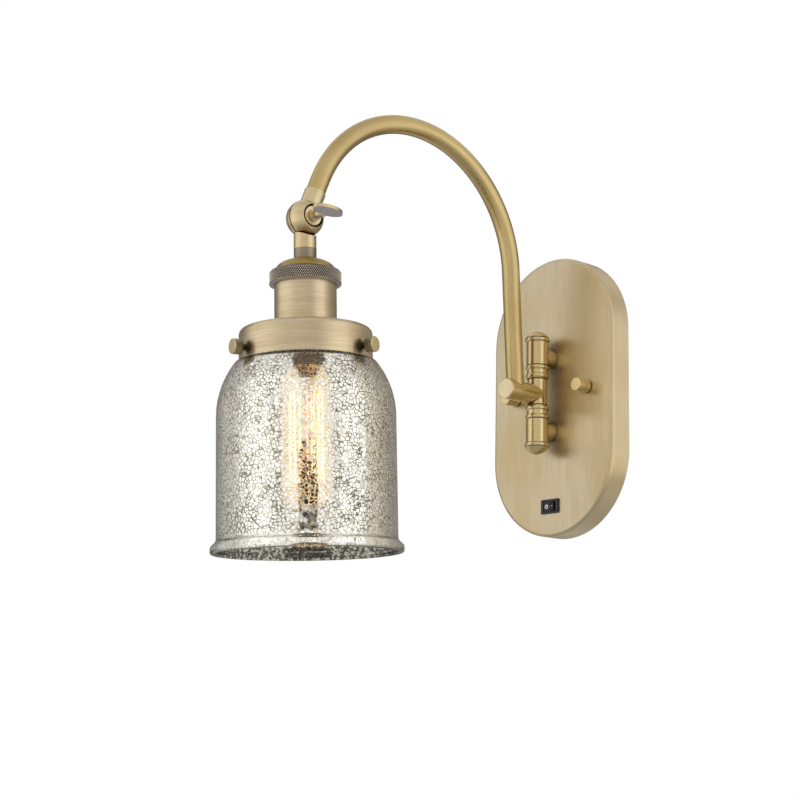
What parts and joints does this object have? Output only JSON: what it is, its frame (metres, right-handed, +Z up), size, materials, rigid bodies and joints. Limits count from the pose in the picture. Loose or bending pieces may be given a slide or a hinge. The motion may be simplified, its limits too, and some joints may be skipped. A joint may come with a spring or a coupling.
{
  "type": "swing arm wall lamp",
  "caption": "Wall lamp with an oblong plate, a hinge, an arched swinging arm, a ball swivel with a wing nut, and a lampholder with a collar that holds a glass bell shade.",
  "frame": {"origin": "on the wall, behind the middle of the wall plate", "axes": "+Z up, +X to the right as seen from the room, -Y out of the wall into the room"},
  "size_m": [0.12, 0.2918, 0.3099],
  "materials": {
    "brushed_brass": "brushed antique brass, satin lacquer",
    "dark_bronze": "darker bronze-grey, knurled or plain",
    "socket_brass": "plain stamped brass",
    "zinc_steel": "zinc-plated steel",
    "green_screw": "green-dyed zinc plating",
    "black_plastic": "fine moulded grain",
    "fibre_washer": "pressed fibre",
    "lampholder_resin": "moulded phenolic resin",
    "mercury_glass": "silvered, crackled mercury glass",
    "bulb_glass": "clear, lightly amber glass",
    "stem_glass": "clear lamp-worked glass",
    "filament": "glowing wire"
  },
  "bodies": {
    "wall_plate": {"backplate": "brushed_brass", "mounting_bracket": "zinc_steel", "mounting_studs": "zinc_steel", "ground_screw": "green_screw", "upper_knuckle": "brushed_brass", "lower_knuckle": "brushed_brass", "upper_finial": "brushed_brass", "lower_finial": "brushed_brass", "hinge_pin": "zinc_steel", "hinge_washers": "dark_bronze", "post_nuts": "zinc_steel", "switch_housing": "black_plastic", "switch_terminals": "zinc_steel"},
    "rocker": {"switch_rocker": "black_plastic"},
    "left_knob": {"knob_left": "brushed_brass"},
    "right_knob": {"knob_right": "brushed_brass"},
    "arm": {"hinge_tee": "brushed_brass", "barrel_cap": "brushed_brass", "arm_tube": "brushed_brass", "arm_swivel_half": "brushed_brass", "swivel_bushing": "brushed_brass", "swivel_washer": "fibre_washer"},
    "wing": {"wing_nut": "brushed_brass"},
    "head": {"neck_swivel_half": "brushed_brass", "swivel_stud": "zinc_steel", "neck_ring": "dark_bronze", "socket_nipple": "zinc_steel", "socket_dome": "brushed_brass", "knurled_ring": "dark_bronze", "socket_cup": "brushed_brass", "lampholder": "lampholder_resin", "screw_shell": "socket_brass", "centre_contact": "socket_brass", "fitter_collar": "brushed_brass", "retaining_ring": "zinc_steel", "glass_shade": "mercury_glass", "bulb_cap": "socket_brass", "bulb_glass": "bulb_glass", "bulb_stem": "stem_glass", "bulb_filament": "filament"},
    "right_thumbscrew": {"thumbscrew_right": "brushed_brass"},
    "back_thumbscrew": {"thumbscrew_back": "brushed_brass"},
    "left_thumbscrew": {"thumbscrew_left": "brushed_brass"}
  },
  "joints": [
    {"name": "arm_swing", "type": "hinge", "parent": "wall_plate", "child": "arm", "pos_m": [0, -0.0313, 0], "axis": [0, 0, 1], "range_deg": [-75, 75]},
    {"name": "head_tilt", "type": "hinge", "parent": "arm", "child": "head", "pos_m": [0, -0.24223, 0.08098], "axis": [-1, 0, 0], "range_deg": [-25, 85]},
    {"name": "wing_nut_turn", "type": "hinge", "parent": "head", "child": "wing", "pos_m": [0, -0.24223, 0.08098], "axis": [1, 0, 0], "range_deg": [0, 180]},
    {"name": "rocker_rock", "type": "hinge", "parent": "wall_plate", "child": "rocker", "pos_m": [0, -0.0173, -0.0802], "axis": [0, 0, 1], "range_deg": [0, 16]},
    {"name": "knob_left_turn", "type": "hinge", "parent": "wall_plate", "child": "left_knob", "pos_m": [-0.035, -0.0175, 0.0015], "axis": [0, -1, 0], "range_deg": [0, 360]},
    {"name": "knob_right_turn", "type": "hinge", "parent": "wall_plate", "child": "right_knob", "pos_m": [0.035, -0.0175, 0.0015], "axis": [0, -1, 0], "range_deg": [0, 360]},
    {"name": "thumbscrew_right_turn", "type": "hinge", "parent": "head", "child": "right_thumbscrew", "pos_m": [0, -0.23763, -0.0067], "axis": [0.9397, 0.3416, 0.0179], "range_deg": [0, 360]},
    {"name": "thumbscrew_back_turn", "type": "hinge", "parent": "head", "child": "back_thumbscrew", "pos_m": [0, -0.23763, -0.0067], "axis": [-0.766, 0.6419, 0.0336], "range_deg": [0, 360]},
    {"name": "thumbscrew_left_turn", "type": "hinge", "parent": "head", "child": "left_thumbscrew", "pos_m": [0, -0.23763, -0.0067], "axis": [-0.1736, -0.9835, -0.0515], "range_deg": [0, 360]}
  ]
}
